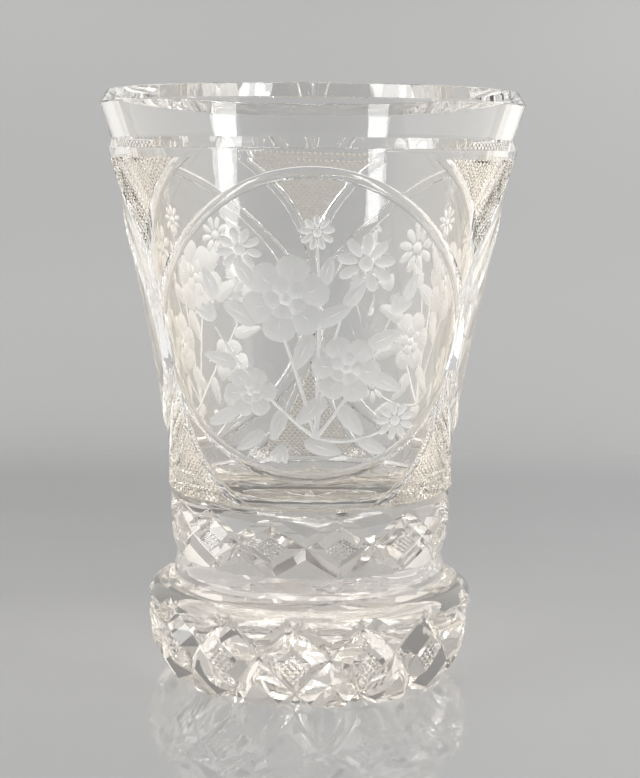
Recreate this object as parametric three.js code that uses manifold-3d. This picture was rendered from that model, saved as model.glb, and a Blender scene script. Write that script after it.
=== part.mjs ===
// A footed beaker of cut clear glass: a flared bowl with three round windows in sunk frames,
// a mitre-cut frieze, a plain collar, and a thick foot cut with a belt of large diamonds.
// Millimetres, +Z up, the origin on the axis where the foot rests. Azimuth 0 faces -Y, and
// the middle of the first window is there.
import * as THREE from 'three';
import { mergeVertices } from 'three/addons/utils/BufferGeometryUtils.js';
import Module from 'manifold-3d';

const wasm = await Module();
wasm.setup();

// Heights of the stacked parts
const footHeight = 19.8;
const collarHeight = 6.6;
const friezeHeight = 14.1;
const bodyHeight = 72.5;
const rimHeight = 12;

// Bowl, outside
const bodyBottomRadius = 30.5;
const bodyTopRadius = 43.1;
const flareLowerHandle = 18;
const flareUpperHandle = 40.5;
const flareUpperLean = 9.3;
const flareLowerLean = 0.2;
const friezeInset = 0.1;
const friezeFootInset = 1.6;
const rimNeckInset = 0.4;
const rimLedge = 0.3;
const ledgeHeight = 2;
const lipReach = 1.95;
const lipBevelHeight = 2.8;
const lipBevelDepth = 1.8;

// Bowl, inside
const mouthWall = 1.3;
const rimWall = 2.2;
const bodyWall = 3.2;
const floorRise = -1;
const floorRounding = 7;

// Windows and their frames
const medallionCount = 3;
const windowRadius = 30;
const windowRise = 37.5;
const windowProud = 0.5;
const frameHalfTurn = 62.2;
const frameHalfHeight = 40.7;
const frameReach = 20;
const spandrelProud = 0.35;

// Ring groove between the body and the frieze
const ringGrooveWidth = 1.7;
const ringGrooveDepth = 0.7;

// Frieze of crossing mitre cuts
const lozengeCount = 13;
const lozengeTurn = -1.4;
const lozengeRise = 6.5;
const lozengeHalfHeight = 4.6;
const friezeMitreDepth = 1.2;
const friezeMitreHalfWidth = 1.9;

// Collar
const collarInset = 1;
const collarFootInset = 1.6;
const collarGrooveRise = 3;
const collarGrooveDepth = 0.8;
const collarGrooveWidth = 1.4;

// Foot, its reaches measured from the bottom radius of the body
const footBottomReach = 0.1;
const footWaistReach = 4.4;
const footWaistHeight = 11;
const shoulderReach = 5.1;
const shoulderHeight = 16.2;
const crownReach = 1.1;
const crownRise = 0.5;
const diamondCount = 14;
const diamondTurn = 7.6;
const diamondMiddle = 10.4;
const diamondRise = 7.2;
const diamondFall = 9.6;
const footMitreDepth = 2.3;
const footMitreHalfWidth = 3;
const oliveWidth = 9.6;
const oliveHeight = 4.4;
const oliveDepth = 1;
const oliveRise = 0.8;
const oliveLean = Math.PI / 7;
const oliveSteps = 12;
const starRayCount = 16;
const starEyeRadius = 4;
const starRadius = 19;
const starDepth = 1.1;
const starTipDepth = 0.1;
const starHalfWidth = 1.8;
const hollowInset = 8.6;
const hollowDepth = 0.8;
const hollowSlope = 1.5;

// Fineness of the round surfaces, in steps to a turn
const bowlSteps = 52;
const collarSteps = 52;
const footStepsToDiamond = 4;
const flareSteps = 6;
const circleSteps = 40;
const roundingSteps = 4;
const friezeShares = [0, 0.3, 0.65, 1];

const mitreClearance = 1.6;
const mitreOverrun = 0.4;
const mitreStops = [-1, -0.5, 0, 0.5, 1];

const friezeRadius = bodyBottomRadius - friezeInset;
const friezeFootRadius = bodyBottomRadius - friezeFootInset;
const rimNeckRadius = bodyTopRadius - rimNeckInset;
const lipRadius = bodyTopRadius + lipReach;
const collarRadius = bodyBottomRadius - collarInset;
const collarFootRadius = bodyBottomRadius - collarFootInset;
const footBottomRadius = bodyBottomRadius + footBottomReach;
const footWaistRadius = bodyBottomRadius + footWaistReach;
const shoulderRadius = bodyBottomRadius + shoulderReach;
const crownRadius = bodyBottomRadius + crownReach;
const hollowRadius = footBottomRadius - hollowInset;

const collarBottom = footHeight;
const bowlBottom = collarBottom + collarHeight;
const grooveHeight = bowlBottom + friezeHeight;
const ledgeBottom = grooveHeight + bodyHeight;
const lipTop = ledgeBottom + rimHeight;
const lipEdge = lipTop - lipBevelHeight;
const windowHeight = grooveHeight + windowRise;
const floorHeight = grooveHeight + floorRise;
const medallionTurns = Array.from({ length: medallionCount }, (_, k) => (k * 360) / medallionCount);

// Solids from geometries, and back

function toSolid(geometry) {
  const plain = geometry.clone();
  plain.deleteAttribute('normal');
  plain.deleteAttribute('uv');
  const merged = mergeVertices(plain, 1e-4);
  const index = merged.index.array;
  const triangles = [];
  for (let i = 0; i < index.length; i += 3) {
    const [a, b, c] = [index[i], index[i + 1], index[i + 2]];
    if (a !== b && b !== c && c !== a) triangles.push(a, b, c);
  }
  return new wasm.Manifold(new wasm.Mesh({
    numProp: 3,
    vertProperties: Float32Array.from(merged.attributes.position.array),
    triVerts: Uint32Array.from(triangles),
  }));
}

function toGeometry(solid) {
  const mesh = solid.getMesh();
  const geometry = new THREE.BufferGeometry();
  geometry.setAttribute('position', new THREE.BufferAttribute(mesh.vertProperties, 3));
  geometry.setIndex(new THREE.BufferAttribute(mesh.triVerts, 1));
  geometry.computeVertexNormals();
  return geometry;
}

function joinAll(solids) {
  return solids.reduce((whole, solid) => whole.add(solid));
}

function cutAll(blank, cuts) {
  return cuts.reduce((rest, cut) => rest.subtract(cut), blank);
}

// A solid turned round the axis from points [radius, height], listed from the bottom up, with
// one of its steps at firstTurn
function turned(points, steps, firstTurn = 0) {
  const outline = points.map(([radius, height]) => new THREE.Vector2(radius, height));
  const lathe = new THREE.LatheGeometry(outline, steps).rotateX(Math.PI / 2);
  return toSolid(lathe.rotateZ(THREE.MathUtils.degToRad(firstTurn)));
}

// A point at an azimuth in degrees, a radius and a height
function around(azimuth, radius, height) {
  const turn = THREE.MathUtils.degToRad(azimuth);
  return new THREE.Vector3(radius * Math.sin(turn), -radius * Math.cos(turn), height);
}

// A V-shaped mitre along points of a surface, its valley at a depth below them. Each stop is
// { point, outward, depth }, and the mitre's slopes open by halfWidth for each depth of fullDepth.
function mitre(stops, fullDepth, halfWidth) {
  const last = stops.length - 1;
  const corners = stops.flatMap(({ point, outward, depth }, k) => {
    const ahead = stops[Math.min(k + 1, last)].point;
    const behind = stops[Math.max(k - 1, 0)].point;
    const along = new THREE.Vector3().subVectors(ahead, behind).normalize();
    const out = outward.clone().addScaledVector(along, -outward.dot(along)).normalize();
    const across = new THREE.Vector3().crossVectors(out, along);
    const overrun = k === 0 ? -mitreOverrun : k === last ? mitreOverrun : 0;
    const middle = point.clone().addScaledVector(along, overrun);
    const open = (halfWidth * (depth + mitreClearance)) / fullDepth;
    const mouth = middle.clone().addScaledVector(out, mitreClearance);
    return [
      middle.clone().addScaledVector(out, -depth),
      mouth.clone().addScaledVector(across, open),
      mouth.clone().addScaledVector(across, -open),
    ];
  });
  const index = [0, 2, 1, 3 * last, 3 * last + 1, 3 * last + 2];
  for (let k = 0; k < last; k += 1) {
    for (const [a, b] of [[0, 1], [1, 2], [2, 0]]) {
      const [near, next, far, farNext] = [3 * k + a, 3 * k + b, 3 * k + 3 + a, 3 * k + 3 + b];
      index.push(near, next, farNext, near, farNext, far);
    }
  }
  const geometry = new THREE.BufferGeometry();
  geometry.setAttribute('position', new THREE.Float32BufferAttribute(corners.flatMap((p) => p.toArray()), 3));
  geometry.setIndex(index);
  return toSolid(geometry);
}

// Both ways of a crossing belt of mitres. Each runs from a low tip, a fall below its crossing,
// to a high tip, a rise above it, over the surface that radiusAt gives for a height.
function mitreBelt({ count, turn: firstTurn, middle, rise, fall, radiusAt, depth, halfWidth }) {
  const halfPitch = 180 / count;
  const cuts = [];
  for (let k = 0; k < count; k += 1) {
    const turn = firstTurn + (k * 360) / count;
    for (const side of [-1, 1]) {
      const stops = mitreStops.map((way) => {
        const height = middle + way * (way > 0 ? rise : fall);
        const azimuth = turn + side * way * halfPitch;
        const slope = (radiusAt(height + 1) - radiusAt(height - 1)) / 2;
        return { point: around(azimuth, radiusAt(height), height), outward: around(azimuth, 1, -slope), depth };
      });
      cuts.push(mitre(stops, depth, halfWidth));
    }
  }
  return cuts;
}

// Bowl

const flare = new THREE.CubicBezierCurve(
  new THREE.Vector2(bodyBottomRadius, grooveHeight),
  new THREE.Vector2(bodyBottomRadius + flareLowerLean, grooveHeight + flareLowerHandle),
  new THREE.Vector2(bodyTopRadius - flareUpperLean, ledgeBottom - flareUpperHandle),
  new THREE.Vector2(bodyTopRadius, ledgeBottom),
);

// The flared outside, stood off from the frames' surface by an amount
function flarePoints(standOff) {
  return flare.getPoints(flareSteps).map((p) => [p.x + standOff, p.y]);
}

// A flared skin that reaches in under the frames' surface
function flaredSkin(standOff) {
  const points = flarePoints(standOff);
  return turned([[0, grooveHeight], ...points, [0, ledgeBottom]], bowlSteps);
}

function radialCylinder(radius, height, azimuth) {
  const reach = 2 * lipRadius;
  const cylinder = new THREE.CylinderGeometry(radius, radius, reach, circleSteps);
  cylinder.translate(0, -reach / 2, height).rotateZ(THREE.MathUtils.degToRad(azimuth));
  return toSolid(cylinder);
}

// A drum that opens outwards from the axis, oval when its wall is unrolled
function framingDrum(azimuth) {
  const drum = new THREE.CylinderGeometry(1, 1, 1, circleSteps);
  const corners = drum.attributes.position;
  for (let i = 0; i < corners.count; i += 1) {
    const turn = azimuth + corners.getX(i) * frameHalfTurn;
    const radius = corners.getY(i) > 0 ? bodyBottomRadius - frameReach : lipRadius + frameReach;
    const place = around(turn, radius, windowHeight + corners.getZ(i) * frameHalfHeight);
    corners.setXYZ(i, place.x, place.y, place.z);
  }
  return toSolid(drum);
}

function friezeRadiusAt(height) {
  const share = THREE.MathUtils.clamp((height - bowlBottom) / (friezeHeight / 2), 0, 1);
  return THREE.MathUtils.lerp(friezeFootRadius, friezeRadius, Math.sin((share * Math.PI) / 2));
}

function makeBowl() {
  const halfGroove = ringGrooveWidth / 2;
  const frieze = friezeShares.map((share) => {
    const height = bowlBottom + (share * friezeHeight) / 2;
    return [friezeRadiusAt(height), height];
  });
  const core = turned([
    [0, bowlBottom],
    ...frieze,
    [friezeRadius, grooveHeight - halfGroove],
    [bodyBottomRadius - ringGrooveDepth, grooveHeight],
    ...flarePoints(0).slice(1),
    [rimNeckRadius, ledgeBottom + ledgeHeight],
    [lipRadius, lipEdge],
    [lipRadius - lipBevelDepth, lipTop],
    [0, lipTop],
  ], bowlSteps);
  const ledge = turned([
    [0, ledgeBottom - ledgeHeight],
    [bodyTopRadius, ledgeBottom - ledgeHeight],
    [bodyTopRadius + rimLedge, ledgeBottom],
    [rimNeckRadius, ledgeBottom + ledgeHeight],
    [0, ledgeBottom + ledgeHeight],
  ], bowlSteps);
  const frames = joinAll(medallionTurns.map((turn) => framingDrum(turn)));
  const windows = joinAll(medallionTurns.map((turn) => radialCylinder(windowRadius, windowHeight, turn)));
  const grooveRing = turned([
    [0, grooveHeight - halfGroove],
    [bodyBottomRadius + spandrelProud + ringGrooveWidth, grooveHeight - halfGroove],
    [bodyBottomRadius + spandrelProud + ringGrooveWidth, grooveHeight + halfGroove],
    [bodyBottomRadius + spandrelProud, grooveHeight + halfGroove],
    [bodyBottomRadius - ringGrooveDepth, grooveHeight],
    [0, grooveHeight],
  ], bowlSteps);
  const spandrels = flaredSkin(spandrelProud).subtract(frames).subtract(grooveRing);
  const panes = flaredSkin(windowProud).intersect(windows);
  const belt = mitreBelt({
    count: lozengeCount,
    turn: lozengeTurn,
    middle: bowlBottom + lozengeRise,
    rise: lozengeHalfHeight,
    fall: lozengeHalfHeight,
    radiusAt: friezeRadiusAt,
    depth: friezeMitreDepth,
    halfWidth: friezeMitreHalfWidth,
  });
  return cutAll(joinAll([core, ledge, spandrels, panes]), [...belt, makeCavity()]);
}

// The room inside: a rounded floor, then a wall that thins out towards the lip
function makeCavity() {
  const floorRadius = bodyBottomRadius - bodyWall;
  const corner = new THREE.EllipseCurve(floorRadius - floorRounding, floorHeight + floorRounding,
    floorRounding, floorRounding, -Math.PI / 2, 0);
  const rounded = corner.getPoints(roundingSteps).map((p) => [p.x, p.y]);
  const wall = flarePoints(0)
    .filter(([, height]) => height > floorHeight + floorRounding)
    .map(([radius, height]) => {
      const share = (height - grooveHeight) / bodyHeight;
      return [radius - THREE.MathUtils.lerp(bodyWall, rimWall, share), height];
    });
  return turned([
    [0, floorHeight],
    ...rounded,
    ...wall,
    [lipRadius - lipBevelDepth - mouthWall, lipTop],
    [lipRadius - lipBevelDepth - mouthWall, lipTop + 1],
    [0, lipTop + 1],
  ], bowlSteps);
}

// Collar, a plain merese with one ring groove

function makeCollar() {
  const groove = collarBottom + collarGrooveRise;
  return turned([
    [0, collarBottom],
    [collarFootRadius, collarBottom],
    [collarRadius, groove - collarGrooveWidth],
    [collarRadius, groove - collarGrooveWidth / 2],
    [collarRadius - collarGrooveDepth, groove],
    [collarRadius, groove + collarGrooveWidth / 2],
    [friezeFootRadius, bowlBottom],
    [0, bowlBottom],
  ], collarSteps);
}

// Foot

// The foot's outline before it is cut, as points from its resting ring up to its crown
function footOutline() {
  const lower = new THREE.QuadraticBezierCurve(
    new THREE.Vector2(footBottomRadius, 0),
    new THREE.Vector2(footWaistRadius, footWaistHeight / 2),
    new THREE.Vector2(footWaistRadius, footWaistHeight),
  );
  const crown = footHeight + crownRise;
  const upper = new THREE.CubicBezierCurve(
    new THREE.Vector2(shoulderRadius, shoulderHeight),
    new THREE.Vector2(shoulderRadius, (shoulderHeight + crown) / 2),
    new THREE.Vector2((shoulderRadius + crownRadius) / 2, crown),
    new THREE.Vector2(crownRadius, crown),
  );
  return [...lower.getPoints(roundingSteps), ...upper.getPoints(roundingSteps)];
}

function footRadiusAt(height) {
  const outline = footOutline();
  const above = Math.max(1, outline.findIndex((p) => p.y >= height));
  const [low, high] = [outline[above - 1], outline[above]];
  const share = THREE.MathUtils.clamp((height - low.y) / (high.y - low.y), 0, 1);
  return THREE.MathUtils.lerp(low.x, high.x, share);
}

function oliveCuts() {
  const cuts = [];
  for (let k = 0; k < diamondCount; k += 1) {
    const turn = THREE.MathUtils.degToRad(diamondTurn + (k * 360) / diamondCount);
    const olive = new THREE.SphereGeometry(1, oliveSteps, (2 * oliveSteps) / 3);
    olive.scale(oliveWidth / 2, 2 * oliveDepth, oliveHeight / 2).rotateX(oliveLean);
    olive.translate(0, -shoulderRadius - oliveDepth, shoulderHeight + oliveRise).rotateZ(turn);
    cuts.push(toSolid(olive));
  }
  return cuts;
}

// A star of mitres in the ground hollow under the foot
function starCuts() {
  const rays = [];
  for (let k = 0; k < starRayCount; k += 1) {
    const turn = diamondTurn + ((k + 0.5) * 360) / starRayCount;
    const down = new THREE.Vector3(0, 0, -1);
    rays.push(mitre([
      { point: around(turn, starEyeRadius, hollowDepth), outward: down, depth: starDepth },
      { point: around(turn, starRadius, hollowDepth), outward: down, depth: starTipDepth },
    ], starDepth, starHalfWidth));
  }
  return rays;
}

function makeFoot() {
  const blank = turned([
    [0, hollowDepth],
    [hollowRadius - hollowSlope, hollowDepth],
    [hollowRadius, 0],
    ...footOutline().map((p) => [p.x, p.y]),
    [collarFootRadius, footHeight],
    [0, footHeight],
  ], footStepsToDiamond * diamondCount, diamondTurn);
  const belt = mitreBelt({
    count: diamondCount,
    turn: diamondTurn,
    middle: diamondMiddle,
    rise: diamondRise,
    fall: diamondFall,
    radiusAt: footRadiusAt,
    depth: footMitreDepth,
    halfWidth: footMitreHalfWidth,
  });
  return cutAll(blank, [...belt, ...oliveCuts(), ...starCuts()]);
}

// The beaker

const glassColour = new THREE.Color(0.93, 0.91, 0.87);

function glassMesh(name, solid) {
  const material = new THREE.MeshStandardMaterial({
    color: glassColour,
    roughness: 0.04,
    metalness: 0,
    transparent: true,
    opacity: 0.35,
  });
  const mesh = new THREE.Mesh(toGeometry(solid), material);
  mesh.name = name;
  return mesh;
}

const beaker = new THREE.Group();
beaker.add(glassMesh('bowl', makeBowl()));
beaker.add(glassMesh('collar', makeCollar()));
beaker.add(glassMesh('foot', makeFoot()));

export default beaker;
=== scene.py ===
"""The footed beaker, dressed for its photograph: clear cut glass with a matte engraved bouquet in
each round window, standing on a glossy grey board. The pieces are modelled in millimetres and
brought to metres at the end. Azimuth 0 faces -Y, where the middle of the first window is."""
import math

import bmesh
import bpy
from mathutils import Matrix, Vector


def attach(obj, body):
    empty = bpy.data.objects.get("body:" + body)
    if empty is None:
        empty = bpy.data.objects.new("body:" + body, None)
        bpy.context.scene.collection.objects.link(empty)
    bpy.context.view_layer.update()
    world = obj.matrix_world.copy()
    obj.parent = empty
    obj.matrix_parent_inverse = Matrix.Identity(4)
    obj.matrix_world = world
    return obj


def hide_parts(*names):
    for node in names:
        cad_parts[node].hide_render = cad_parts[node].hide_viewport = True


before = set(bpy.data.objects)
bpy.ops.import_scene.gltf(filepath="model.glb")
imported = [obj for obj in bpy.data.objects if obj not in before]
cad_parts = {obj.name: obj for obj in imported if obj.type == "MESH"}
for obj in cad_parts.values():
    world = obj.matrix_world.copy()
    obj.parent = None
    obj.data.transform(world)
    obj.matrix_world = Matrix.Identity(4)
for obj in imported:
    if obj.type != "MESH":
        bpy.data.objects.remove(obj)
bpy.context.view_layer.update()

TURN = 2 * math.pi
MILLIMETRE = 0.001

# Heights of the stacked pieces. The collar stops a hair short of its neighbours. The faces of a joint
# are known by their height and by how far up or down they look.
FOOT_TOP = 19.8
COLLAR_TOP = 26.4
GROOVE_HEIGHT = 40.5
LEDGE_HEIGHT = 113.0
LIP_HEIGHT = 125.0
JOINT_GAP = 0.02
JOINT_LEVEL = 0.99

# Bowl, outside: the flare is the level of the sunk frames round the windows, given by the corners of
# its curve
FLARE = ((30.5, 40.5), (30.7, 58.5), (33.8, 72.5), (43.1, 113.0))
FLARE_ROWS = 28
FLARE_FOOT = 41.35
FLARE_TOP = 111.0
SPANDREL_PROUD = 0.35
GROOVE_DEPTH = 0.7
LEDGE_REACH = 0.3
RIM_NECK_RADIUS = 42.7
RIM_NECK_HEIGHT = 115.0
LIP_RADIUS = 45.05
LIP_EDGE_HEIGHT = 122.2
LIP_BEVEL_DEPTH = 1.8
ARRIS = 0.15

# Bowl, inside
MOUTH_RADIUS = 42.95
BODY_WALL = 3.2
RIM_WALL = 4.05
FLOOR_HEIGHT = 39.5
FLOOR_ROUNDING = 7.0

# Windows and the oval frames that they stand in. Of the lines round them the depth and the half width
# are given, after the radius of the line round a window
WINDOW_COUNT = 3
WINDOW_RADIUS = 30.0
WINDOW_HEIGHT = 78.0
WINDOW_PROUD = 0.5
WINDOW_BEVEL = 0.4
WINDOW_LINE = (30.4, 0.55, 1.15)
FRAME_HALF_TURN = math.radians(62.2)
FRAME_HALF_HEIGHT = 40.7
FRAME_LINE = (0.6, 1.1)

# Cross-hatching: teeth of a board, pitch, depth, and how far the crests stand over the glass
SPANDREL_HATCHING = (40, 0.95, 0.29, -0.03)
SPANDREL_HATCHING_HEIGHTS = (50.0, 100.0)
FRIEZE_HATCHING = (5, 0.86, 0.3, 0.05)
FOOT_HATCHING = (4, 1.15, 0.45, 0.06)

# Frieze of crossing mitres
FRIEZE_RADIUS = 30.4
FRIEZE_FOOT_RADIUS = 28.9
LOZENGE_COUNT = 13
LOZENGE_TURN = math.radians(-1.4)
LOZENGE_HEIGHT = 32.9
LOZENGE_HALF_HEIGHT = 4.6
FRIEZE_MITRE_DEPTH = 1.2
FRIEZE_MITRE_HALF_WIDTH = 1.9

# Collar
COLLAR_RADIUS = 29.5
COLLAR_FOOT_RADIUS = 28.9
COLLAR_GROOVE_HEIGHT = 22.8
COLLAR_GROOVE_DEPTH = 0.8
COLLAR_GROOVE_WIDTH = 1.4

# Foot. At its inner end and at its tip a ray of the star has a share of its depth, and gains more
# on the way to its middle
FOOT_BOTTOM_RADIUS = 30.6
WAIST_RADIUS = 34.9
WAIST_HEIGHT = 11.0
SHOULDER_RADIUS = 35.6
SHOULDER_HEIGHT = 16.2
CROWN_RADIUS = 31.6
CROWN_HEIGHT = 20.3
DIAMOND_COUNT = 14
DIAMOND_TURN = math.radians(7.6)
DIAMOND_CROSSING = 10.4
DIAMOND_RISE = 7.2
DIAMOND_FALL = 9.6
FOOT_MITRE_DEPTH = 2.4
FOOT_MITRE_HALF_WIDTH = 3.0
OLIVE_SIZE = (7.5, 2.2, 2.0)
OLIVE_RADIUS = 36.9
OLIVE_HEIGHT = 16.8
STAR_RAYS = 16
STAR_EYE = 4.0
STAR_RADIUS = 19.0
STAR_DEPTH = 1.1
STAR_HALF_WIDTH = 1.7
STAR_INNER_END = (0.35, 2.4)
STAR_TIP = (0.08, 1.15)
HOLLOW_RADIUS = 22.0
HOLLOW_DEPTH = 0.8
HOLLOW_SLOPE = 1.5

# The engraved bouquet, from the middle of a window: across, up, reach and turn of each flower,
# then across, up, length, width and turn of each leaf, then the three corners of each stem's curve
ROSES = ((-5, 6, 8.6, 0.3), (7, -8, 6.8, 0.9), (-12, -13, 5.2, 0.1))
DAISIES = ((10.5, 13, 6, 0.1), (-14, 15.5, 4.6, 0.5), (17, -19, 4.2, 0.3), (1, 19, 3.6, 0.2))
BUDS = ((16.5, 3.5, 3.4, 1.0), (-19.5, 1.5, 3.2, 2.2), (-5.5, -24, 3.0, 4.4))
LEAVES = (
    (4.5, 3, 8, 3.6, 0.5), (8.5, 7, 7, 3, 0.9), (-14, 3, 8, 3.6, 2.6), (-13, 11, 7, 3, 2.2),
    (3, 11.5, 6, 2.8, 1.3), (-1.5, -4.5, 8, 3.6, 4.3), (14.5, -2, 8, 3.4, 0.4), (15, -11, 7, 3.2, -0.5),
    (0, -16.5, 8, 3.6, -2.4), (8, -18.5, 8, 3.4, -0.9), (-18, -6.5, 7, 3, 2.9), (-17.5, -18.5, 7, 3, 3.7),
    (-6.5, -19.5, 7, 3, -1.9), (2.5, -24, 8, 3.2, -0.3), (12.5, -24, 7, 2.8, -0.5), (-12, -23, 7, 2.8, 3.8),
    (19.5, 8, 6, 2.4, 1.2), (-20, 9, 6, 2.4, 2.0),
)
STEMS = (
    ((1, -22), (3, -4), (9, 12)), ((1, -22), (-6, 4), (-13, 14)), ((1, -22), (8, -14), (15.5, 2)),
    ((1, -22), (-12, -12), (-19, 0)), ((1, -22), (2, 6), (1, 17)), ((1, -22), (9, -24), (16, -20)),
)
STEM_DEPTH = 0.3
STEM_HALF_WIDTH = 0.4
STEM_TAPER = 0.5
PETAL_DEPTH = 0.5
PETAL_TAPER = -0.25
VEIN_LENGTH = 0.7
VEIN_DEPTH = 0.12

# Rings of petals: how many, how far out, how long and how wide in reaches of the flower, then their
# turn against it, their depth and the width of their veins. Hearts: width in reaches, and depth.
ROSE_RINGS = ((6, 0.62, 0.8, 0.78, 0, PETAL_DEPTH, 0.6), (5, 0.32, 0.5, 0.5, 0.4, PETAL_DEPTH + 0.15, 0))
ROSE_HEART = (0.34, PETAL_DEPTH + 0.35)
DAISY_RINGS = ((9, 0.62, 0.7, 0.36, 0, PETAL_DEPTH * 0.8, 0),)
DAISY_HEART = (0.5, PETAL_DEPTH * 1.3)

# Buds: lean and width of each petal, how far out and how long they are, and how much they narrow
BUD_PETALS = ((-0.5, 0.6), (0.5, 0.6), (0, 0.75))
BUD_MIDDLE = 0.5
BUD_LENGTH = 1.3
BUD_TAPER = 0.3

# Leaves, and the rib in each: its share of the length, its width and how much deeper it is
LEAF_DEPTH = PETAL_DEPTH * 0.8
LEAF_TAPER = 0.35
LEAF_RIB = (0.85, 0.55, 0.15)

# A dish is the end of a ball: the share of the ball's width at the surface, and its middle over the
# surface and its half height, in depths of the dish
DISH_CHORD = 0.8
DISH_MIDDLE = 1.5
DISH_HALF_HEIGHT = 2.5

# Cutters: how far they reach past the glass, the middle and the length of the drum for a frame in
# lip radii, how far the mitres run past their crossings, how wide the flat at the bottom of a mitre
# is for its width, and the step over which a slope is measured
CLEARANCE = 1.0
DRUM_MIDDLE = 0.85
DRUM_LENGTH = 1.2
FRIEZE_OVERRUN = (1.04, 1.04)
FOOT_OVERRUN = (1.2, 1.04)
MITRE_EDGE = 0.08
PROBE = 0.01

# Fineness
BOWL_STEPS = 180
FRIEZE_ROWS = 10
FLOOR_ROWS = 12
FOOT_STEPS = 168
FOOT_ROWS = 14
OLIVE_STEPS = (40, 24)
STAR_STATIONS = 12
WINDOW_STEPS = 128
WINDOW_RINGS = 14
LINE_HALF_STEPS = 5
MITRE_STATIONS = 18
HATCHING_STATIONS = 6
SPANDREL_HATCHING_STATIONS = 10
STEM_STATIONS = 10
STEM_STEPS = 40
DISH_STEPS = (14, 10)
THIN_DISH = 1.0
THIN_DISH_STEPS = (6, 6)
CREASE_ANGLE = math.radians(11)
BOARD_CREASE_ANGLE = math.radians(30)

# Board, in metres: it lies flat from far in front of the beaker, then bends up behind it
BOARD_HALF_WIDTH = 0.18
BOARD_REACH = 2.5
BEND_START = 0.12
BEND_RADIUS = 0.3
BEND_STEPS = 16

# Board tones by how far back and up a place is, from 0.2 m in front of the beaker to the top: its grey,
# with painted shade that darkens the front edge and most of all the bend. The place is the sum of both in
# metres, scaled and moved to run from 0 to 1.
BOARD_TONE_SCALE = 0.9
BOARD_TONE_START = 0.45
BOARD_TONES_AND_PAINTED_SHADE = (
    (0.27, 0.1), (0.36, 0.326), (0.425, 0.355), (0.456, 0.334), (0.5, 0.303), (0.5355, 0.293), (0.582, 0.291),
    (0.5985, 0.287), (0.617, 0.291), (0.644, 0.338), (0.687, 0.354), (0.766, 0.37), (0.84, 0.355),
    (0.91, 0.358), (0.96, 0.366),
)
BOARD_MATTE = ((0.6, 0.0), (0.68, 1.0))
BOARD_CLOUDS = 0.06
# Painted light: the board grows lighter towards its right, where it is not matte
BOARD_PAINTED_LIGHT_PER_METRE = 0.7
# The lighter colour that the clouds and the painted light blend into the board
BOARD_CLOUD_AND_PAINTED_LIGHT_TONE = (0.6, 0.6, 0.62, 1)

# Glass: repeats per metre of its patterns, strength and height of their relief, and from which share
# of the height the warmer edge fades towards the rim
WAVES = 55.0
CORDS = (90.0, 90.0, 22.0)
DUST = 900.0
GRAIN = 2600.0
CLOUDS = 240.0
WAVE_RELIEF = (0.12, 0.0004)
GRAIN_RELIEF = (0.5, 0.00008)
EDGE_FADE = ((0.86, 1.0), (0.92, 0.35))

# Light that passes each face of the glass on its way from a lamp
CLEAR_SHADOW = (0.985, 0.982, 0.976, 1)
MATTE_SHADOW = (0.9, 0.9, 0.9, 1)

# Room light, and where on the way up the ceiling starts and on the way ahead the dark side ends
LEFT_WALL_LIGHT = (0.87, 0.865, 0.855, 1)
RIGHT_WALL_LIGHT = (1.13, 1.125, 1.11, 1)
CEILING_LIGHT = (0.85, 0.845, 0.835, 1)
DARK_SIDE = (0.28, 0.278, 0.275, 1)
CEILING_START = ((0.35, 0.0), (0.8, 1.0))
DARK_SIDE_END = ((0.07, 0.0), (0.32, 1.0))

# Lamps, in metres: side, width and height, power in watts
LEFT_LAMP = (math.radians(-47), (0.2, 1.0), 4.3)
RIGHT_LAMP = (math.radians(64), (0.25, 1.0), 5.2)
LAMP_ELEVATION = math.radians(44)
LAMP_DISTANCE = 1.0
LAMP_AIM = Vector((0, 0, 0.08))

# Camera, in metres
CAMERA_PLACE = (0, -0.3506, 0.1101)
CAMERA_TURN = math.radians(-0.33)
CAMERA_TILT = math.radians(82.1)
CAMERA_ROLL = math.radians(0.5)
SENSOR_HEIGHT = 36
FOCAL_LENGTH = 75.3
CLIP_START = 0.01

# Light goes to and fro inside cut glass more often than the default lets it
LIGHT_BOUNCES = 32
GLASS_BOUNCES = 24
GLOSS_BOUNCES = 16


# Places on the glass

def around(azimuth, radius, height):
    """The point at an azimuth, a distance from the axis and a height."""
    return Vector((radius * math.sin(azimuth), -radius * math.cos(azimuth), height))


def curve_points(corners, count):
    """Points along a Bezier curve of three or four corners."""
    points = []
    for step in range(count + 1):
        share = step / count
        level = [Vector(corner) for corner in corners]
        while len(level) > 1:
            level = [one.lerp(other, share) for one, other in zip(level, level[1:])]
        points.append(tuple(level[0]))
    return points


def radius_on(outline, height, slope_below=0.0):
    """The radius of a rising outline at a height, drawn on under its foot with a slope."""
    if height <= outline[0][1]:
        return outline[0][0] + (height - outline[0][1]) * slope_below
    for (low_radius, low), (high_radius, high) in zip(outline, outline[1:]):
        if height <= high:
            share = (height - low) / (high - low) if high > low else 1
            return low_radius + (high_radius - low_radius) * share
    return outline[-1][0]


FLARE_LINE = curve_points(FLARE, FLARE_ROWS)
SHOULDER_MIDDLE = (SHOULDER_RADIUS, (SHOULDER_HEIGHT + CROWN_HEIGHT) / 2)
CROWN_MIDDLE = ((SHOULDER_RADIUS + CROWN_RADIUS) / 2, CROWN_HEIGHT)
FOOT_LINE = [
    *curve_points(((FOOT_BOTTOM_RADIUS, 0), (WAIST_RADIUS, WAIST_HEIGHT / 2), (WAIST_RADIUS, WAIST_HEIGHT)),
                  FOOT_ROWS),
    *curve_points(((SHOULDER_RADIUS, SHOULDER_HEIGHT), SHOULDER_MIDDLE, CROWN_MIDDLE,
                   (CROWN_RADIUS, CROWN_HEIGHT)), FOOT_ROWS),
]


def body_radius(height):
    return radius_on(FLARE_LINE, height)


def spandrel_radius(height):
    return body_radius(height) + SPANDREL_PROUD


def window_surface_radius(height):
    return body_radius(height) + WINDOW_PROUD


def foot_radius(height):
    return radius_on(FOOT_LINE, height, 2 * (WAIST_RADIUS - FOOT_BOTTOM_RADIUS) / WAIST_HEIGHT)


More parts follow.
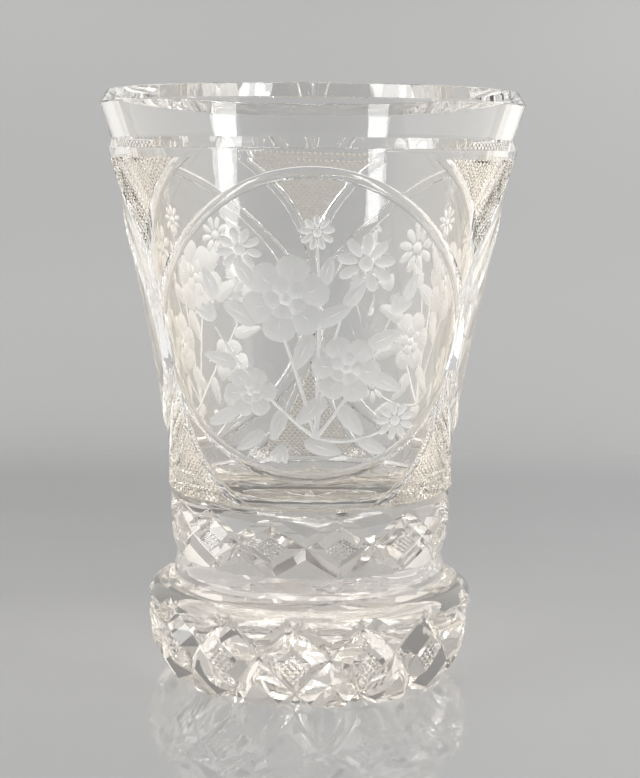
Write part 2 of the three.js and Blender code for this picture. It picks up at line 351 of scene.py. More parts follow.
def frieze_radius(height):
    """The radius of the frieze, which draws in towards its foot."""
    share = (height - COLLAR_TOP) / (GROOVE_HEIGHT - COLLAR_TOP)
    swell = math.sin(min(max(2 * share, 0), 1) * math.pi / 2)
    return FRIEZE_FOOT_RADIUS + (FRIEZE_RADIUS - FRIEZE_FOOT_RADIUS) * swell


def on_window(across, up, level):
    """The point of the first window at a distance across and up from its middle, at a level
    over the frames."""
    height = WINDOW_HEIGHT + up
    radius = body_radius(height) + level
    return Vector((across, -math.sqrt(radius * radius - across * across), height))


# Modelling

def clear_selection():
    if bpy.context.object and bpy.context.object.mode != "OBJECT":
        bpy.ops.object.mode_set(mode="OBJECT")
    bpy.ops.object.select_all(action="DESELECT")


def work_on(piece, mode="OBJECT"):
    clear_selection()
    piece.select_set(True)
    bpy.context.view_layer.objects.active = piece
    if mode == "EDIT":
        bpy.ops.object.mode_set(mode="EDIT")
        bpy.ops.mesh.select_all(action="SELECT")


def close_up(piece):
    """Merges seams and poles, and turns every face outwards."""
    work_on(piece, "EDIT")
    bpy.ops.mesh.remove_doubles(threshold=1e-4)
    bpy.ops.mesh.normals_make_consistent(inside=False)
    if bmesh.from_edit_mesh(piece.data).calc_volume(signed=True) < 0:
        bpy.ops.mesh.flip_normals()
    bpy.ops.object.mode_set(mode="OBJECT")


def draw(name, points):
    """A line in the XZ plane through points (x, z), left in edit mode with its last point selected."""
    clear_selection()
    bpy.ops.mesh.primitive_plane_add(size=0.01)
    piece = bpy.context.object
    piece.name = name
    bpy.ops.object.mode_set(mode="EDIT")
    bpy.ops.mesh.merge(type="CENTER")
    here = Vector(points[0])
    bpy.ops.transform.translate(value=(here.x, 0, here.y))
    for point in points[1:]:
        step = Vector(point) - here
        bpy.ops.mesh.extrude_region_move(TRANSFORM_OT_translate={"value": (step.x, 0, step.y)})
        here = Vector(point)
    return piece


def lathe(name, outline, steps):
    """A solid turned round the axis from an outline of (radius, height) points."""
    piece = draw(name, outline)
    bpy.ops.mesh.select_all(action="SELECT")
    bpy.ops.mesh.spin(steps=steps, angle=TURN, center=(0, 0, 0), axis=(0, 0, 1))
    close_up(piece)
    return piece


def drawn_out(name, outline, stations):
    """A closed outline in the XZ plane, filled and drawn out along Y from 0 to 1."""
    piece = draw(name, [*outline, outline[0]])
    bpy.ops.mesh.select_all(action="SELECT")
    bpy.ops.mesh.remove_doubles(threshold=1e-5)
    bpy.ops.mesh.edge_face_add()
    for _ in range(stations):
        bpy.ops.mesh.extrude_region_move(TRANSFORM_OT_translate={"value": (0, 1 / stations, 0)})
    bpy.ops.object.mode_set(mode="OBJECT")
    return piece


def lay(piece, place):
    """Moves each corner of a flat-drawn piece to its place on the glass."""
    for corner in piece.data.vertices:
        corner.co = place(*corner.co)
    close_up(piece)


def repeat(piece, count):
    """Copies a piece round the axis, count in all."""
    work_on(piece, "EDIT")
    bpy.ops.mesh.spin(steps=count - 1, dupli=True, angle=TURN * (count - 1) / count,
                      center=(0, 0, 0), axis=(0, 0, 1))
    bpy.ops.object.mode_set(mode="OBJECT")


def join(pieces):
    """Makes several pieces one mesh."""
    clear_selection()
    for piece in pieces:
        piece.select_set(True)
    bpy.context.view_layer.objects.active = pieces[0]
    bpy.ops.object.join()
    return pieces[0]


def shape_by(piece, tool, operation):
    """Cuts, joins or trims a piece by a tool, which is used up."""
    work_on(piece)
    corners = len(piece.data.vertices)
    bpy.ops.object.modifier_add(type="BOOLEAN")
    modifier = piece.modifiers[-1]
    modifier.operation = operation
    modifier.solver = "MANIFOLD"
    modifier.material_mode = "TRANSFER"
    modifier.object = tool
    bpy.ops.object.modifier_apply(modifier=modifier.name)
    if len(piece.data.vertices) == corners:
        raise RuntimeError(f"{tool.name} left {piece.name} as it was")
    bpy.data.objects.remove(tool)


# Cutting wheels

def groove(name, path, radius_at, depth, half_width, stations):
    """A V-shaped cutter with a narrow flat edge, along a path over a turned surface. For a share
    from 0 to 1, path gives the azimuth, the height and how much of the depth is cut."""
    piece = drawn_out(name, [(-1, -1), (1, -1), (1, 1), (-1, 1)], stations)

    def point(share):
        azimuth, height, _ = path(share)
        return around(azimuth, radius_at(height), height)

    def place(side, share, level):
        azimuth, height, cut_share = path(share)
        along = (point(share + PROBE) - point(share - PROBE)).normalized()
        slope = (radius_at(height + PROBE) - radius_at(height - PROBE)) / (2 * PROBE)
        outward = around(azimuth, 1, -slope)
        outward = (outward - along * outward.dot(along)).normalized()
        aside = outward.cross(along) * side
        if level < 0:
            return point(share) - outward * depth * cut_share + aside * half_width * MITRE_EDGE
        opening = half_width * (depth * cut_share + CLEARANCE) / depth
        return point(share) + outward * CLEARANCE + aside * opening

    lay(piece, place)
    return piece


def mitres(name, side, count, first, middle, rise, fall, radius_at, depth, half_width, overrun):
    """One way of a belt of crossing mitres, side 1 or -1, that cross at a middle height."""
    low, high = overrun

    def path(share):
        way = share * (low + high) - low
        height = middle + way * (rise + fall) / 2 + way * way * (rise - fall) / 2
        return first + side * way * math.pi / count, height, 1

    piece = groove(name, path, radius_at, depth, half_width, MITRE_STATIONS)
    repeat(piece, count)
    return piece


def hatching(name, side, board, lean, azimuth, height, radius_at, stations=HATCHING_STATIONS):
    """A board of V teeth that cuts one way of a cross-hatched patch. The patch is a lozenge with
    sides that rise by lean, and the teeth run along two of them."""
    teeth, pitch, depth, crest = board
    width = teeth * pitch
    outline = []
    for tooth in range(teeth):
        left = tooth * pitch - width / 2
        outline += [(left, crest), (left + pitch / 2, -depth)]
    outline.append((width / 2, crest))
    outline += [(tooth * pitch - width / 2, CLEARANCE) for tooth in range(teeth, -1, -1)]
    piece = drawn_out(name, outline, stations)

    def place(across, share, level):
        along = (share - 0.5) * width
        arc = side * math.cos(lean) * (along - across)
        here = height + math.sin(lean) * (along + across)
        return around(azimuth + arc / radius_at(height), radius_at(here) + level, here)

    lay(piece, place)
    return piece


def line_ring(name, radius, depth, half_width, width_unit, place):
    """A closed cutter with a round edge, drawn as a flat ring and laid on the glass. Its width is
    drawn in the units of the flat ring."""
    wheel = (half_width ** 2 + depth ** 2) / (2 * depth)
    reach = math.asin(half_width / wheel)
    outline = []
    for step in range(2 * LINE_HALF_STEPS + 1):
        turn = (step / LINE_HALF_STEPS - 1) * reach
        outline.append((radius + wheel * math.sin(turn) * width_unit, wheel * (1 - math.cos(turn)) - depth))
    edge = half_width * width_unit
    outline += [(radius + edge, CLEARANCE), (radius - edge, CLEARANCE), outline[0]]
    piece = lathe(name, outline, WINDOW_STEPS)
    lay(piece, place)
    return piece


# Materials

class Value:
    """An output of a node, on which sums are written as Python expressions."""

    def __init__(self, finish, socket):
        self.finish = finish
        self.socket = socket

    def sum_with(self, operation, first, second):
        return self.finish.node("ShaderNodeMath", {"operation": operation}, {0: first, 1: second})

    def __add__(self, other):
        return self.sum_with("ADD", self, other)

    def __mul__(self, other):
        return self.sum_with("MULTIPLY", self, other)

    def __rsub__(self, other):
        return self.sum_with("SUBTRACT", other, self)

    def __pow__(self, other):
        return self.sum_with("POWER", self, other)

    __radd__ = __add__
    __rmul__ = __mul__


class Finish:
    """A material, or the world, whose nodes are all made by node()."""

    def __init__(self, name, kind="materials"):
        self.material = getattr(bpy.data, kind).new(name)
        self.material.use_nodes = True
        self.tree = self.material.node_tree
        self.tree.nodes.clear()

    def node(self, kind, settings=None, inputs=None, output=0):
        node = self.tree.nodes.new(kind)
        for name, value in (settings or {}).items():
            if name == "stops":
                self.set_stops(node.color_ramp, value)
            else:
                setattr(node, name, value)
        for key, value in (inputs or {}).items():
            if isinstance(value, Value):
                self.tree.links.new(value.socket, node.inputs[key])
            else:
                node.inputs[key].default_value = value
        return Value(self, node.outputs[output]) if node.outputs else None

    def set_stops(self, ramp, stops):
        """Sets a ramp's stops, each a position and a grey or a colour."""
        while len(ramp.elements) < len(stops):
            ramp.elements.new(1.0)
        for element, (position, colour) in zip(ramp.elements, stops):
            element.position = position
            element.color = colour if isinstance(colour, tuple) else (colour, colour, colour, 1)

    def place(self):
        return self.node("ShaderNodeTexCoord", output="Object")

    def along(self, axis, vector):
        return self.node("ShaderNodeSeparateXYZ", inputs={"Vector": vector}, output=axis)

    def ramp(self, value, *stops):
        return self.node("ShaderNodeValToRGB", {"stops": stops}, {"Fac": value})

    def stretched(self, place, scale):
        return self.node("ShaderNodeMapping", inputs={"Vector": place, "Scale": scale})

    def noise(self, place, scale, detail=2.0):
        return self.node("ShaderNodeTexNoise", inputs={"Vector": place, "Scale": scale, "Detail": detail})

    def blend(self, factor, one, other):
        colours = {"Factor": factor, 6: one, 7: other}
        return self.node("ShaderNodeMix", {"data_type": "RGBA"}, colours, output=2)

    def bump(self, height, strength, distance):
        relief = {"Height": height, "Strength": strength, "Distance": distance}
        return self.node("ShaderNodeBump", inputs=relief)

    def with_clear_shadow(self, surface, colour):
        """Lets lamplight through the glass to what stands behind it."""
        clear = self.node("ShaderNodeBsdfTransparent", inputs={"Color": colour})
        in_shadow = self.node("ShaderNodeLightPath", output="Is Shadow Ray")
        shown = self.node("ShaderNodeMixShader", inputs={0: in_shadow, 1: surface, 2: clear})
        self.node("ShaderNodeOutputMaterial", inputs={"Surface": shown})
        return self.material


def make_clear_glass(name, thin, thick, edge, clearness):
    """Polished glass: cords in the melt, and below the rim a warmer tone where it is seen at a slant.
    Thin, thick and edge are its tones, and clearness is how little light it scatters."""
    glass = Finish(name)
    place = glass.place()
    waves = glass.noise(place, WAVES)
    cords = glass.noise(glass.stretched(place, CORDS), 1.0, 3.0)
    dust = glass.noise(place, DUST, 4.0)
    slant = glass.node("ShaderNodeLayerWeight", inputs={"Blend": 0.5}, output="Facing")
    below_rim = glass.ramp(1 / (LIP_HEIGHT * MILLIMETRE) * glass.along("Z", place), *EDGE_FADE)
    surface = glass.node("ShaderNodeBsdfPrincipled", inputs={
        "Base Color": glass.blend(slant ** 1.5 * below_rim, glass.blend(cords, thin, thick), edge),
        "Roughness": 0.012 * dust,
        "IOR": 1.53,
        "Transmission Weight": clearness,
        "Normal": glass.bump(waves, *WAVE_RELIEF),
    })
    return glass.with_clear_shadow(surface, CLEAR_SHADOW)


def make_engraved_glass():
    """Glass ground matte by small copper wheels."""
    matte = Finish("engraved glass")
    place = matte.place()
    grain = matte.noise(place, GRAIN, 3.0)
    clouds = matte.noise(place, CLOUDS, 3.0)
    surface = matte.node("ShaderNodeBsdfPrincipled", inputs={
        "Base Color": matte.blend(clouds, (0.93, 0.93, 0.93, 1), (0.84, 0.84, 0.83, 1)),
        "Roughness": 0.42 + 0.2 * grain,
        "IOR": 1.5,
        "Transmission Weight": 0.55,
        "Normal": matte.bump(grain, *GRAIN_RELIEF),
    })
    return matte.with_clear_shadow(surface, MATTE_SHADOW)


def make_fused_joint():
    """Where one gather of glass is fused to the next there is nothing to see."""
    joint = Finish("fused joint")
    clear = joint.node("ShaderNodeBsdfTransparent", inputs={"Color": (1, 1, 1, 1)})
    joint.node("ShaderNodeOutputMaterial", inputs={"Surface": clear})
    return joint.material


BOWL_GLASS = make_clear_glass("bowl glass", thin=(0.995, 0.995, 0.993, 1), thick=(0.985, 0.982, 0.975, 1),
                              edge=(0.87, 0.735, 0.53, 1), clearness=1.0)
FOOT_GLASS = make_clear_glass("foot glass", thin=(0.992, 0.957, 0.91, 1), thick=(0.978, 0.938, 0.882, 1),
                              edge=(0.95, 0.895, 0.805, 1), clearness=0.93)
COLLAR_GLASS = make_clear_glass("collar glass", thin=(1.0, 0.965, 0.93, 1), thick=(0.99, 0.95, 0.905, 1),
                                edge=(0.97, 0.92, 0.85, 1), clearness=0.8)
SPANDREL_GLASS = make_clear_glass("spandrel glass", thin=(0.985, 0.905, 0.79, 1),
                                  thick=(0.97, 0.885, 0.765, 1), edge=(0.93, 0.83, 0.68, 1), clearness=0.98)
ENGRAVED_GLASS = make_engraved_glass()
FUSED_JOINT = make_fused_joint()


def cut(piece, tool, glass):
    """Cuts a piece by a tool, and leaves the tool's finish on the cut faces."""
    tool.data.materials.clear()
    tool.data.materials.append(glass)
    for face in tool.data.polygons:
        face.material_index = 0
    shape_by(piece, tool, "DIFFERENCE")


def clear_flakes(piece):
    """Takes away the flakes that cutting leaves: two faces back to back that meet nothing else."""
    work_on(piece, "EDIT")
    bpy.ops.mesh.select_all(action="DESELECT")
    for face in bmesh.from_edit_mesh(piece.data).faces:
        touching = {other for edge in face.edges for other in edge.link_faces}
        face.select_set(len(touching) == 2)
    bpy.ops.mesh.delete(type="FACE")
    bpy.ops.object.mode_set(mode="OBJECT")


def finish_piece(piece, node, joints):
    """Creases the cut edges, makes the joints unseen and brings the piece to metres."""
    clear_flakes(piece)
    work_on(piece)
    piece.data.materials.append(FUSED_JOINT)
    joint_slot = len(piece.data.materials) - 1
    for face in piece.data.polygons:
        level = any(abs(face.center.z - height) < JOINT_GAP for height in joints)
        if level and abs(face.normal.z) > JOINT_LEVEL:
            face.material_index = joint_slot
    bpy.ops.object.shade_smooth_by_angle(angle=CREASE_ANGLE)
    bpy.ops.transform.resize(value=(MILLIMETRE,) * 3, center_override=(0, 0, 0))
    bpy.ops.object.transform_apply(location=True, rotation=True, scale=True)
    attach(piece, "root")
    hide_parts(node)


# Bowl

def bowl_outline():
    """From the joint up the outside at spandrel level, over the lip and down the inside."""
    frieze = []
    for step in range(FRIEZE_ROWS + 1):
        height = COLLAR_TOP + step / FRIEZE_ROWS * (2 * GROOVE_HEIGHT - FLARE_FOOT - COLLAR_TOP)
        frieze.append((frieze_radius(height), height))
    body = []
    for step in range(FLARE_ROWS + 1):
        height = FLARE_FOOT + step / FLARE_ROWS * (FLARE_TOP - FLARE_FOOT)
        body.append((spandrel_radius(height), height))
    ledge_radius = FLARE[-1][0] + LEDGE_REACH
    rim = [
        (ledge_radius, LEDGE_HEIGHT - ARRIS),
        (ledge_radius - ARRIS, LEDGE_HEIGHT),
        (RIM_NECK_RADIUS, RIM_NECK_HEIGHT),
        (LIP_RADIUS - ARRIS / 3, LIP_EDGE_HEIGHT - ARRIS),
        (LIP_RADIUS - ARRIS / 2, LIP_EDGE_HEIGHT + ARRIS),
        (LIP_RADIUS - LIP_BEVEL_DEPTH + ARRIS, LIP_HEIGHT - ARRIS),
        (LIP_RADIUS - LIP_BEVEL_DEPTH - ARRIS, LIP_HEIGHT),
        (MOUTH_RADIUS + ARRIS, LIP_HEIGHT),
        (MOUTH_RADIUS, LIP_HEIGHT - ARRIS),
    ]
    inside = []
    for step in range(FLARE_ROWS, -1, -1):
        height = (FLOOR_HEIGHT + FLOOR_ROUNDING
                  + step / FLARE_ROWS * (LEDGE_HEIGHT - FLOOR_HEIGHT - FLOOR_ROUNDING))
        share = (height - GROOVE_HEIGHT) / (LEDGE_HEIGHT - GROOVE_HEIGHT)
        inside.append((body_radius(height) - BODY_WALL + (BODY_WALL - RIM_WALL) * share, height))
    floor_radius = inside[-1][0]
    rounding = []
    for step in range(1, FLOOR_ROWS + 1):
        turn = step / FLOOR_ROWS * math.pi / 2
        rounding.append((floor_radius - FLOOR_ROUNDING * (1 - math.cos(turn)),
                         FLOOR_HEIGHT + FLOOR_ROUNDING * (1 - math.sin(turn))))
    return [(0, COLLAR_TOP), *frieze, (FLARE[0][0] - GROOVE_DEPTH, GROOVE_HEIGHT), *body, *rim, *inside,
            *rounding, (0, FLOOR_HEIGHT)]


def flare_band(name, depth):
    """A ring over the flare, from a depth in the glass to well outside it."""
    skin = []
    for step in range(FLARE_ROWS + 1):
        height = FLARE_FOOT + step / FLARE_ROWS * (FLARE_TOP - FLARE_FOOT)
        skin.append((body_radius(height) - depth, height))
    reach = LIP_RADIUS + CLEARANCE
    return lathe(name, [*skin, (reach, skin[-1][1]), (reach, skin[0][1]), skin[0]], BOWL_STEPS)


def frame_drum(azimuth):
    """A drum over the oval of a frame, from near the axis to well outside the glass."""
    clear_selection()
    bpy.ops.mesh.primitive_cylinder_add(vertices=WINDOW_STEPS, radius=1, depth=1, end_fill_type="TRIFAN")
    drum = bpy.context.object
    drum.name = "drum"

    def place(across, up, level):
        radius = LIP_RADIUS * (DRUM_MIDDLE + DRUM_LENGTH * level)
        return around(azimuth + across * FRAME_HALF_TURN, radius, WINDOW_HEIGHT + up * FRAME_HALF_HEIGHT)

    lay(drum, place)
    return drum


def hatch_spandrels(bowl):
    """Cross-hatches the glass above and below each meeting of two frames."""
    for height in SPANDREL_HATCHING_HEIGHTS:
        for side in (-1, 1):
            board = hatching("spandrel hatching", side, SPANDREL_HATCHING, math.pi / 4,
                             math.pi / WINDOW_COUNT, height, spandrel_radius, SPANDREL_HATCHING_STATIONS)
            repeat(board, WINDOW_COUNT)
            shape_by(board, flare_band("band", CLEARANCE), "INTERSECT")
            cut(bowl, board, SPANDREL_GLASS)


def sink_frames(bowl):
    """Sinks the oval frames of the windows below the spandrels, each with a line round it."""
    for window in range(WINDOW_COUNT):
        azimuth = window * TURN / WINDOW_COUNT
        ring = flare_band("frame", 0)
        shape_by(ring, frame_drum(azimuth), "INTERSECT")
        cut(bowl, ring, BOWL_GLASS)
    depth, half_width = FRAME_LINE
    for window in range(WINDOW_COUNT):
        def place(across, up, level):
            height = WINDOW_HEIGHT + up * FRAME_HALF_HEIGHT
            azimuth = window * TURN / WINDOW_COUNT + across * FRAME_HALF_TURN
            return around(azimuth, body_radius(height) + level, height)

        line = line_ring("frame line", 1, depth, half_width, 1 / FRAME_HALF_HEIGHT, place)
        shape_by(line, flare_band("band", CLEARANCE), "INTERSECT")
        cut(bowl, line, BOWL_GLASS)


def raise_windows(bowl):
    """Adds the three round windows, proud of their frames, with a cut bevel and a line all round."""
    flat = WINDOW_RADIUS - WINDOW_BEVEL
    outline = [(flat * step / WINDOW_RINGS, WINDOW_PROUD) for step in range(WINDOW_RINGS + 1)]
    outline += [(WINDOW_RADIUS, 0)]
    outline += [(WINDOW_RADIUS * (1 - step / WINDOW_RINGS), -BODY_WALL / 4)
                for step in range(WINDOW_RINGS + 1)]
    windows = lathe("windows", outline, WINDOW_STEPS)
    lay(windows, on_window)
    repeat(windows, WINDOW_COUNT)
    windows.data.materials.append(BOWL_GLASS)
    shape_by(bowl, windows, "UNION")
    radius, depth, half_width = WINDOW_LINE
    lines = line_ring("window lines", radius, depth, half_width, 1, on_window)
    repeat(lines, WINDOW_COUNT)
    cut(bowl, lines, BOWL_GLASS)


# Engraving

def dish(across, up, length, width, turn, depth, taper=0.0):
    """A hollow ground by a small wheel: where it is, its length and width on the glass, its turn,
    its depth, and how much it narrows towards its tip. Kept with its middle and its reach."""
    segments, rings = DISH_STEPS if width > THIN_DISH else THIN_DISH_STEPS
    clear_selection()
    bpy.ops.mesh.primitive_uv_sphere_add(segments=segments, ring_count=rings, radius=1)
    hollow = bpy.context.object
    hollow.name = "dish"

    def place(ahead, aside, level):
        ahead_by = ahead * length / 2 / DISH_CHORD
        aside_by = aside * (1 - taper * ahead) * width / 2 / DISH_CHORD
        right = across + ahead_by * math.cos(turn) - aside_by * math.sin(turn)
        rise = up + ahead_by * math.sin(turn) + aside_by * math.cos(turn)
        return on_window(right, rise, WINDOW_PROUD + depth * (DISH_MIDDLE + DISH_HALF_HEIGHT * level))

    lay(hollow, place)
    return hollow, Vector((across, up)), max(length, width) / 2


def petals(across, up, reach, turn, ring):
    """A ring of petals, widest at their outer ends, each with a vein or none."""
    count, distance, length, width, lean, depth, vein = ring
    made = []
    for step in range(count):
        way = turn + lean + TURN * step / count
        middle = (across + reach * distance * math.cos(way), up + reach * distance * math.sin(way))
        made.append(dish(*middle, reach * length, reach * width, way, depth, PETAL_TAPER))
        if vein:
            made.append(dish(*middle, reach * length * VEIN_LENGTH, vein, way, depth + VEIN_DEPTH))
    return made


def flower(across, up, reach, turn, rings, heart):
    made = []
    for ring in rings:
        made += petals(across, up, reach, turn, ring)
    width, depth = heart
    return [*made, dish(across, up, reach * width, reach * width, turn, depth)]


def rose(*place):
    return flower(*place, ROSE_RINGS, ROSE_HEART)


def daisy(*place):
    return flower(*place, DAISY_RINGS, DAISY_HEART)


def bud(across, up, reach, turn):
    made = []
    for lean, width in BUD_PETALS:
        way = turn + lean
        middle = (across + reach * BUD_MIDDLE * math.cos(way), up + reach * BUD_MIDDLE * math.sin(way))
        made.append(dish(*middle, reach * BUD_LENGTH, reach * width, way, PETAL_DEPTH, BUD_TAPER))
    return made


def leaf(across, up, length, width, turn):
    rib_length, rib_width, deeper = LEAF_RIB
    blade = dish(across, up, length, width, turn, LEAF_DEPTH, LEAF_TAPER)
    return [blade, dish(across, up, length * rib_length, rib_width, turn, LEAF_DEPTH + deeper)]


def stem(corners):
    """A fine groove along a curve over the window, shallower towards its tip."""
    points = curve_points(corners, STEM_STEPS)

    def path_at(step):
        across, up = points[step]
        height = WINDOW_HEIGHT + up
        azimuth = math.asin(across / window_surface_radius(height))
        return azimuth, height, 1 - STEM_TAPER * step / STEM_STEPS

    def path(share):
        reached = min(max(share, 0), 1) * STEM_STEPS
        low = min(int(reached), STEM_STEPS - 1)
        return tuple(first + (second - first) * (reached - low)
                     for first, second in zip(path_at(low), path_at(low + 1)))

    return groove("stem", path, window_surface_radius, STEM_DEPTH, STEM_HALF_WIDTH, STEM_STATIONS)


def engrave_bouquets(bowl):
    """Engraves the bouquet in every window. Dishes that overlap are ground one after another."""
    for corners in STEMS:
        line = stem(corners)
        repeat(line, WINDOW_COUNT)
        cut(bowl, line, ENGRAVED_GLASS)
    dishes = []
    for engrave, places in ((leaf, LEAVES), (rose, ROSES), (daisy, DAISIES), (bud, BUDS)):
        for place in places:
            dishes += engrave(*place)
    rounds = []
    for hollow, middle, reach in dishes:
        for ground in rounds:
            if all((middle - other).length > reach + far for _, other, far in ground):
                ground.append((hollow, middle, reach))
                break
        else:
            rounds.append([(hollow, middle, reach)])
    for ground in rounds:
        tool = join([hollow for hollow, _, _ in ground])
        repeat(tool, WINDOW_COUNT)
        cut(bowl, tool, ENGRAVED_GLASS)


def make_bowl():
    bowl = lathe("bowl_glass", bowl_outline(), BOWL_STEPS)
    bowl.data.materials.append(BOWL_GLASS)
    hatch_spandrels(bowl)
    sink_frames(bowl)
    raise_windows(bowl)
    engrave_bouquets(bowl)
    for side in (-1, 1):
        belt = mitres("frieze mitres", side, LOZENGE_COUNT, LOZENGE_TURN, LOZENGE_HEIGHT, LOZENGE_HALF_HEIGHT,
                      LOZENGE_HALF_HEIGHT, frieze_radius, FRIEZE_MITRE_DEPTH, FRIEZE_MITRE_HALF_WIDTH,
                      FRIEZE_OVERRUN)
        cut(bowl, belt, FOOT_GLASS)
    lean = math.atan2(LOZENGE_HALF_HEIGHT, math.pi * FRIEZE_RADIUS / LOZENGE_COUNT)
    for side in (-1, 1):
        patch = hatching("frieze hatching", side, FRIEZE_HATCHING, lean,
                         LOZENGE_TURN + math.pi / LOZENGE_COUNT, LOZENGE_HEIGHT, frieze_radius)
        repeat(patch, LOZENGE_COUNT)
        cut(bowl, patch, BOWL_GLASS)
    finish_piece(bowl, "bowl", [COLLAR_TOP])


# Collar

def make_collar():
    half = COLLAR_GROOVE_WIDTH / 2
    collar = lathe("collar_glass", [
        (0, FOOT_TOP + JOINT_GAP),
        (COLLAR_FOOT_RADIUS, FOOT_TOP + JOINT_GAP),
        (COLLAR_RADIUS, COLLAR_GROOVE_HEIGHT - COLLAR_GROOVE_WIDTH),
        (COLLAR_RADIUS, COLLAR_GROOVE_HEIGHT - half),
        (COLLAR_RADIUS - COLLAR_GROOVE_DEPTH, COLLAR_GROOVE_HEIGHT),
        (COLLAR_RADIUS, COLLAR_GROOVE_HEIGHT + half),
        (FRIEZE_FOOT_RADIUS, COLLAR_TOP - JOINT_GAP),
        (0, COLLAR_TOP - JOINT_GAP),
    ], BOWL_STEPS)
    collar.data.materials.append(COLLAR_GLASS)
    finish_piece(collar, "collar", [FOOT_TOP + JOINT_GAP, COLLAR_TOP - JOINT_GAP])


# Foot

def olives():
    """Hollow ovals in the shoulder over each crossing of the mitres."""
    clear_selection()
    segments, rings = OLIVE_STEPS
    bpy.ops.mesh.primitive_uv_sphere_add(segments=segments, ring_count=rings, radius=1, scale=OLIVE_SIZE,
                                         location=(0, -OLIVE_RADIUS, OLIVE_HEIGHT))
    piece = bpy.context.object
    piece.name = "olives"
    bpy.ops.object.transform_apply(location=True, rotation=True, scale=True)
    bpy.ops.transform.rotate(value=-DIAMOND_TURN, orient_axis="Z", center_override=(0, 0, 0))
    bpy.ops.object.transform_apply(location=True, rotation=True, scale=True)
    repeat(piece, DIAMOND_COUNT)
    return piece


def star():
    """Rays cut into the hollow under the foot, deepest near the eye and thin at their tips."""
    piece = drawn_out("star", [(0, 1), (1, -1), (-1, -1)], STAR_STATIONS)
    start, start_gain = STAR_INNER_END
    tip, tip_gain = STAR_TIP
    below = CLEARANCE / 4

    def place(side, share, level):
        reach = STAR_EYE + share * (STAR_RADIUS - STAR_EYE)
        deep = min(start + share * start_gain, 1) * min(tip + (1 - share) * tip_gain, 1)
        if level > 0:
            return Vector((0, -reach, HOLLOW_DEPTH + STAR_DEPTH * deep))
        opening = STAR_HALF_WIDTH * (deep + below / STAR_DEPTH)
        return Vector((side * opening, -reach, HOLLOW_DEPTH - below))

    lay(piece, place)
    repeat(piece, STAR_RAYS)
    return piece


def make_foot():
    foot = lathe("foot_glass", [
        (0, HOLLOW_DEPTH),
        (HOLLOW_RADIUS - HOLLOW_SLOPE, HOLLOW_DEPTH),
        (HOLLOW_RADIUS, 0),
        *FOOT_LINE,
        (COLLAR_FOOT_RADIUS, FOOT_TOP),
        (0, FOOT_TOP),
    ], FOOT_STEPS)
    foot.data.materials.append(FOOT_GLASS)
    for side in (-1, 1):
        belt = mitres("foot mitres", side, DIAMOND_COUNT, DIAMOND_TURN, DIAMOND_CROSSING, DIAMOND_RISE,
                      DIAMOND_FALL, foot_radius, FOOT_MITRE_DEPTH, FOOT_MITRE_HALF_WIDTH, FOOT_OVERRUN)
        cut(foot, belt, FOOT_GLASS)
    lean = math.atan2((DIAMOND_RISE + DIAMOND_FALL) / 2, math.pi * WAIST_RADIUS / DIAMOND_COUNT)
    middle = DIAMOND_CROSSING + (DIAMOND_RISE - DIAMOND_FALL) / 2
    for side in (-1, 1):
        patch = hatching("foot hatching", side, FOOT_HATCHING, lean, DIAMOND_TURN + math.pi / DIAMOND_COUNT,
                         middle, foot_radius)
        repeat(patch, DIAMOND_COUNT)
        cut(foot, patch, FOOT_GLASS)
    cut(foot, olives(), FOOT_GLASS)
    cut(foot, star(), FOOT_GLASS)
    finish_piece(foot, "foot", [FOOT_TOP])


make_bowl()
make_collar()
make_foot()


# Studio

def make_board():
    """A glossy grey board, matte behind the beaker. Painted shade makes it darkest in its bend and dark at
    its front, and painted light makes it a little lighter at its right.
    """
    grey = Finish("grey board")
    place = grey.place()
    back = BOARD_TONE_SCALE * (grey.along("Y", place) + grey.along("Z", place)) + BOARD_TONE_START
    # The board's grey, with painted shade that darkens its front and its bend
    tone = grey.ramp(back, *BOARD_TONES_AND_PAINTED_SHADE)
    matte = grey.ramp(back, *BOARD_MATTE)
    cloud = grey.noise(place, 3.0)
    # Random clouds, and painted light that grows towards the right where the board is not matte
    clouds_and_painted_light = BOARD_CLOUDS * cloud + BOARD_PAINTED_LIGHT_PER_METRE * grey.along("X", place) * (1 - matte)
    surface = grey.node("ShaderNodeBsdfPrincipled", inputs={
        "Base Color": grey.blend(clouds_and_painted_light, tone, BOARD_CLOUD_AND_PAINTED_LIGHT_TONE),
        "Roughness": 0.012 * cloud + 0.5 * matte,
        "IOR": 2.0,
    })
    grey.node("ShaderNodeOutputMaterial", inputs={"Surface": surface})
    bend = []
    for step in range(BEND_STEPS + 1):
        turn = step / BEND_STEPS * math.pi / 2
        bend.append((BEND_START + BEND_RADIUS * math.sin(turn), BEND_RADIUS - BEND_RADIUS * math.cos(turn)))
    board = draw("board", [(-BOARD_REACH, 0), *bend])
    bpy.ops.mesh.select_all(action="SELECT")
    bpy.ops.mesh.extrude_region_move(TRANSFORM_OT_translate={"value": (0, 2 * BOARD_HALF_WIDTH, 0)})
    bpy.ops.object.mode_set(mode="OBJECT")
    for corner in board.data.vertices:
        ahead, across, height = corner.co
        corner.co = (BOARD_HALF_WIDTH - across, ahead, height)
    close_up(board)
    bpy.ops.object.shade_smooth_by_angle(angle=BOARD_CREASE_ANGLE)
    board.data.materials.append(grey.material)


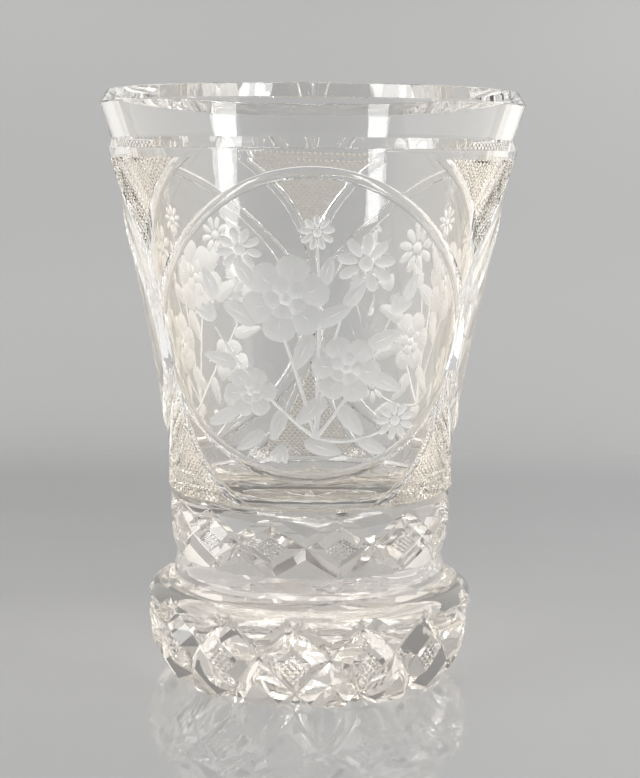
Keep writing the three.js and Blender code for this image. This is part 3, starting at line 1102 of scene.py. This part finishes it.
def softbox(name, azimuth, size, power):
    """A tall soft lamp aimed at the beaker, at an azimuth from its front."""
    direction = around(azimuth, math.cos(LAMP_ELEVATION), math.sin(LAMP_ELEVATION))
    bpy.ops.object.light_add(type="AREA", location=LAMP_AIM + direction * LAMP_DISTANCE)
    lamp = bpy.context.object
    lamp.name = name
    lamp.data.shape = "RECTANGLE"
    lamp.data.size, lamp.data.size_y = size
    lamp.data.energy = power
    lamp.rotation_euler = direction.to_track_quat("Z", "Y").to_euler()


def make_room():
    """A light room, brighter at the right, a little darker overhead and dark behind the camera."""
    room = Finish("room", "worlds")
    direction = room.node("ShaderNodeTexCoord", output="Generated")
    high = room.ramp(room.along("Z", direction), *CEILING_START)
    lit = room.ramp(0.5 * room.along("Y", direction) + 0.5, *DARK_SIDE_END)
    walls = room.blend(0.5 * room.along("X", direction) + 0.5, LEFT_WALL_LIGHT, RIGHT_WALL_LIGHT)
    shade = room.blend(lit, DARK_SIDE, room.blend(high, walls, CEILING_LIGHT))
    sky = room.node("ShaderNodeBackground", inputs={"Color": shade, "Strength": 1.0})
    room.node("ShaderNodeOutputWorld", inputs={"Surface": sky})
    bpy.context.scene.world = room.material


def make_camera():
    """The photograph's view: 8 degrees down, from a little below the height of the lip."""
    clear_selection()
    bpy.ops.object.camera_add(location=CAMERA_PLACE)
    camera = bpy.context.object
    camera.name = "photograph view"
    aim = Matrix.Rotation(CAMERA_TURN, 3, "Z") @ Matrix.Rotation(CAMERA_TILT, 3, "X")
    camera.rotation_euler = (aim @ Matrix.Rotation(CAMERA_ROLL, 3, "Z")).to_euler()
    camera.data.sensor_fit = "VERTICAL"
    camera.data.sensor_height = SENSOR_HEIGHT
    camera.data.lens = FOCAL_LENGTH
    camera.data.clip_start = CLIP_START
    bpy.context.scene.camera = camera


make_board()
make_room()
softbox("left softbox", *LEFT_LAMP)
softbox("right softbox", *RIGHT_LAMP)
make_camera()
bpy.context.scene.view_settings.view_transform = "Standard"
bpy.context.scene.cycles.max_bounces = LIGHT_BOUNCES
bpy.context.scene.cycles.transmission_bounces = GLASS_BOUNCES
bpy.context.scene.cycles.glossy_bounces = GLOSS_BOUNCES
